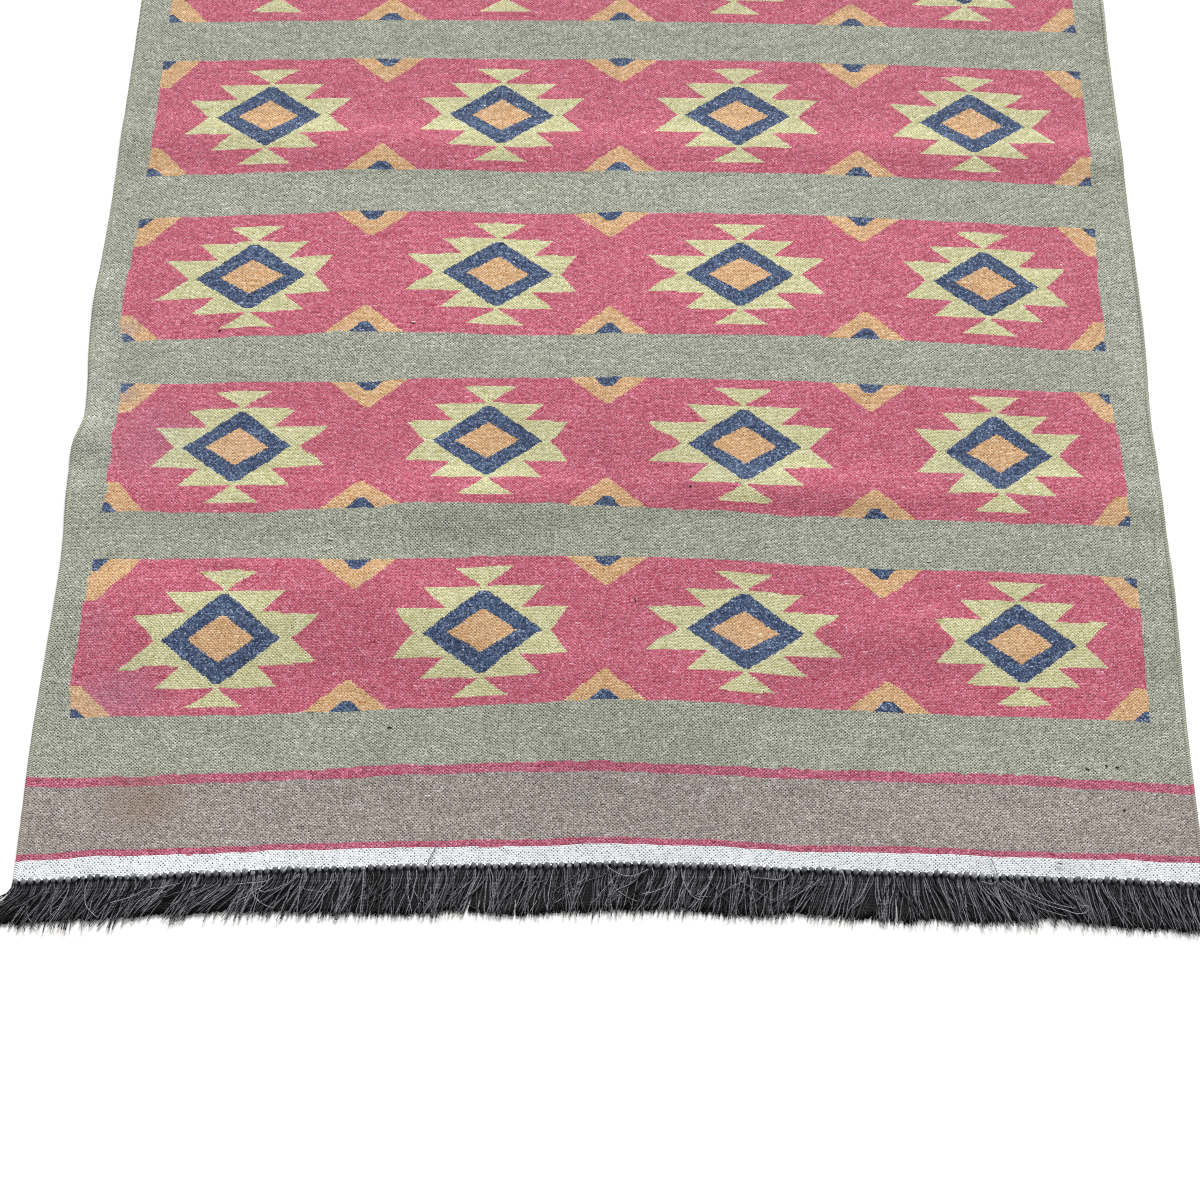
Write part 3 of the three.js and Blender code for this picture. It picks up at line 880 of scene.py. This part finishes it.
# One knot in each bundle of warps: a small hard lump with its yarns slanting over it
def makeKnots(name, side, material):
    chance = np.random.default_rng(80 + side)
    knotX, knotY = endPlaces(side, 0.5)
    knots, count, sides = len(knotX), knot["rings"], knot["sides"]
    halfAcross, halfAlong, halfHigh = knot["half"]
    share = np.linspace(-1, 1, count)
    turn = chance.normal(0, knot["turn"], (knots, 1))
    size = chance.uniform(*knot["size"], (knots, 1))
    aside = chance.normal(0, knot["off"][0], (knots, 1))
    away = knot["at"] + chance.normal(0, knot["off"][1], (knots, 1))
    path = np.zeros((knots, count, 3))
    path[..., 0] = knotX[:, None] + aside + share * halfAlong * size * np.sin(turn)
    path[..., 1] = knotY[:, None] + side * (away + share * halfAlong * size * np.cos(turn))
    path[..., 2] = halfHigh * size + knot["above"]
    swell = knot["neck"] + (1 - knot["neck"]) * np.sqrt(1 - share ** 2)
    points, faces, values = yarnTubes(path, swell * size, sides, chance)
    around = np.arange(sides) / sides * 2 * math.pi
    ridges, winding, ridgeHeight = knot["ridges"]
    slant = ridges * around + winding * share[:, None] + chance.uniform(0, 6.3, (knots, 1, 1))
    ridged = (1 + ridgeHeight * np.sin(slant))[..., None]
    points = stretchRings(points, path, sides, ridged * (halfAcross, halfAcross, halfHigh))
    points[:, 2] = np.maximum(points[:, 2], lowest)
    return makePiece(name, points, faces, material, {"yarn": values})


bead = {
    "half": (1.5, 0.5),  # half its length across, and how far it slants along
    "radius": 1.8, "size": (0.7, 1.12),
    "at": (1.3, 3.4),  # from the woven end, and above the floor
    "off": (0.25, 0.5), "rings": 7, "sides": 7, "fluff": (1.1, 2.0, 0.6),
    "rounding": 0.9,
}


# The last weft shows as a white bead between each two bundles
def makeBeads(name, side, material):
    chance = np.random.default_rng(90 + side)
    x, y = endPlaces(side, 1)
    places = np.linspace(-1, 1, bead["rings"])
    paths = np.zeros((len(x), bead["rings"], 3))
    aside, away = (chance.normal(0, off, (len(x), 1)) for off in bead["off"])
    paths[..., 0] = x[:, None] + aside + places * bead["half"][0]
    paths[..., 1] = y[:, None] + side * (bead["at"][0] + away + places * bead["half"][1])
    paths[..., 2] = bead["at"][1]
    swell = np.sqrt(1 - places ** 2 * bead["rounding"])
    radii = bead["radius"] * swell * chance.uniform(*bead["size"], (len(x), 1))
    return makeYarns(name, paths, radii, bead["sides"], chance, material)


# Bleached wool and jute weft: off-white and matt
def beadMaterial():
    material, add = newMaterial("Bleached wool weft")
    yarn = add("Attribute", attribute_name="yarn").outputs["Vector"]
    fluff = add("TexNoise", yarn, *bead["fluff"])
    shade = add("Mix", fluff, hexColour("#D5D6D8"), hexColour("#FFFFFF"), data_type="RGBA")
    setSurface(add, woolFinish, shade, fluff, fringe["bump"])
    return material


# Loose yarns over the near fringe, as places on the floor
looseYarns = [
    [(-469, -1404), (-485, -1419), (-505, -1428), (-523, -1433), (-528, -1430), (-526, -1427)],
    [(-466, -1404), (-480, -1417), (-500, -1431), (-515, -1442), (-527, -1450)],
    [(-5, -1383), (2, -1389), (13, -1396), (31, -1400), (46, -1395), (58, -1388)],
    [(49, -1426), (68, -1422), (87, -1413), (94, -1400), (94, -1386)],
    [(204, -1402), (194, -1408), (182, -1413), (170, -1422), (159, -1432)],
    [(559, -1398), (569, -1402), (578, -1402), (585, -1398), (586, -1390), (584, -1384), (580, -1372),
     (577, -1363)],
    [(590, -1397), (604, -1408), (621, -1417), (644, -1429), (668, -1437), (690, -1442)],
    [(598, -1397), (611, -1407), (630, -1416), (652, -1425), (676, -1434), (699, -1437)],
    [(586, -1400), (600, -1412), (618, -1424), (640, -1436), (662, -1444), (684, -1449)],
    [(676, -1438), (690, -1443), (701, -1446), (712, -1444), (719, -1439), (720, -1434), (714, -1431),
     (707, -1434)],
    [(-262, -1352), (-265, -1361), (-269, -1369), (-274, -1380), (-276, -1390)],
    [(-700, -1432), (-712, -1440), (-730, -1447), (-748, -1452)],
    [(318, -1398), (304, -1410), (286, -1420), (270, -1432)],
]


# Bits of lint on the weave
darkLint = [
    [(-683, -464), (-681, -462), (-679, -463), (-678, -462)],
    [(122, -746), (124, -745), (126, -746), (125, -748)],
    [(35, -943), (34, -947), (36, -950), (35, -953)],
    [(-350, -1170), (-347, -1169), (-344, -1169), (-342, -1170)],
    [(733, -1218), (735, -1219), (737, -1219), (738, -1221)],
    [(764, -1212), (766, -1213), (767, -1215), (766, -1216)],
    [(779, -1216), (781, -1215), (783, -1216), (785, -1216)],
    [(785, -1285), (786, -1283), (788, -1284), (787, -1286)],
    [(676, -1368), (678, -1369), (681, -1369), (684, -1370)],
]
paleLint = [
    [(-353, -440), (-351, -440), (-348, -441), (-346, -440)],
    [(-465, -850), (-463, -850), (-460, -850), (-458, -851)],
    [(-464, -867), (-462, -867), (-460, -866), (-458, -865)],
    [(507, -874), (509, -874), (511, -874), (513, -873)],
]


looseYarn = {
    "radius": 0.72, "lintRadius": 0.7, "points": 16, "sides": 5,
    "fringeHeight": 6.4,  # where it lies on the strands
    "fringeFrom": 30,  # further in than this, the web is under it
    "heightWaver": 0.3, "endsDrop": (0.3, 0.8), "tones": (0.75, 1.0),
    "lintFluff": (0.9, 2.0, 0.6), "lintTone": (0.75, 1.1),
}


def makeLooseYarns(name, lines, radius, material):
    chance = np.random.default_rng(33)
    pieces = []
    share = np.linspace(0, 1, looseYarn["points"])
    for line in lines:
        places = np.array(line, float)
        walked = np.concatenate([[0], np.cumsum(np.linalg.norm(np.diff(places, axis=0), axis=1))])
        walked /= walked[-1]
        x, y = (np.interp(share, walked, place) for place in places.T)
        for row in (x, y) * 2:
            row[1:-1] = (row[:-2] + 2 * row[1:-1] + row[2:]) / 4
        onCloth = liftAt(x, y) + cloth["thickness"] + radius
        onFringe = looseYarn["fringeHeight"] + chance.uniform(-1, 1) * looseYarn["heightWaver"]
        z = np.where(y < looseYarn["fringeFrom"] - halfLength, onFringe, onCloth)
        z[-2:] -= looseYarn["endsDrop"]
        pieces.append(np.stack([x, y, z], -1))
    paths = np.array(pieces)
    radii = np.full(paths.shape[:2], radius)
    return makeYarns(name, paths, radii, looseYarn["sides"], chance, material, looseYarn["tones"])


# Matt fluff of wool, with no sheen to speak of
def lintMaterial(name, shade):
    material, add = newMaterial(name)
    yarn = add("Attribute", attribute_name="yarn").outputs["Vector"]
    fluff = add("TexNoise", yarn, *looseYarn["lintFluff"])
    tone = add("MapRange", fluff, *noiseSpan, *looseYarn["lintTone"])
    colour = add("VectorMath SCALE", hexColour(shade)[:3], tone)
    setSurface(add, {**woolFinish, "Sheen Weight": 0}, colour)
    return material


strandLook = cottonMaterial("Twisted cotton warp ends", 2, 5.0, "#0A0A0C", "#8B8C92")
# The knots' yarn is painted paler than the strands' of the same cotton: painted light on their raised tops
knotLook = cottonMaterial("Knotted bundle of cotton warps", 5, 9.0, "#55565A", "#85868B")
beadLook = beadMaterial()
fringePieces = {}
for endName, side in (("near", -1), ("far", 1)):
    strands = makeStrands("strands_" + endName, side, strandsOver, strandLook)
    # The under strands take only the darkest tones of the same yarn, as painted shade
    under = makeStrands("under_strands_" + endName, side, strandsUnder, strandLook)
    knots = makeKnots("knots_" + endName, side, knotLook)
    beads = makeBeads("weft_beads_" + endName, side, beadLook)
    fringePieces[endName] = [strands, under, knots, beads]
    print(endName, "fringe tied:", [len(piece.data.polygons) for piece in fringePieces[endName]])
looseEnds = makeLooseYarns("loose_yarns_near", looseYarns, looseYarn["radius"], strandLook)
lint = []
for name, bits, look, shade in (("lint_dark", darkLint, "Dark lint", "#262327"),
                                ("lint_pale", paleLint, "Pale lint", "#F4F2EC")):
    lint.append(makeLooseYarns(name, bits, looseYarn["lintRadius"], lintMaterial(look, shade)))

# Floor and light

studio = {
    "floor": "#F4F3F1",
    "floorFinish": {"Roughness": 0.8, "Specular IOR Level": 0.1},
    "floorHalf": 40000,
    "floorHeight": -0.2,  # just under the cloth
    "keyFrom": (0.16, 0.90, 0.40),  # low over the far end, so that creases show
    "keySoftness": 22,  # degrees across
    "keyStrength": 6.6, "skyStrength": 0.36,
    "pixelFilter": 1.1,  # a wider one would smear the weave, as a denoiser would
}


def makeFloor():
    material, add = newMaterial("Plain pale studio floor")
    setSurface(add, studio["floorFinish"], hexColour(studio["floor"]))
    far, height = studio["floorHalf"], studio["floorHeight"]
    corners = [(x * far, y * far, height) for x, y in ((-1, -1), (1, -1), (1, 1), (-1, 1))]
    floor = makePiece("studio_floor", corners, [(0, 1, 2, 3)], material)


# One wide soft light from far off, so that it is even over the whole rug
def makeKeyLight():
    data = bpy.data.lights.new("keyLight", "SUN")
    data.energy = studio["keyStrength"]
    data.angle = math.radians(studio["keySoftness"])
    light = bpy.data.objects.new("keyLight", data)
    light.rotation_euler = (-Vector(studio["keyFrom"])).to_track_quat("-Z", "Y").to_euler()
    scene.collection.objects.link(light)


def makeStudio():
    makeFloor()
    makeKeyLight()
    world = bpy.data.worlds.new("studioSky")
    world.use_nodes = True
    sky = world.node_tree.nodes["Background"].inputs
    sky["Color"].default_value = (1, 1, 1, 1)
    sky["Strength"].default_value = studio["skyStrength"]
    scene.world = world
    scene.view_settings.view_transform = "Standard"
    scene.cycles.use_denoising = False
    scene.cycles.filter_width = studio["pixelFilter"]


makeStudio()
print("studio lit")

# Bodies and nodes

added = [selvedgeLeft, selvedgeRight, looseEnds] + lint + fringePieces["near"] + fringePieces["far"]
for piece in [rugWeave] + added:
    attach(piece, "root")
for endName, node in (("near", "fringe_near"), ("far", "fringe_far")):
    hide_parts(node)
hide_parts("rug")
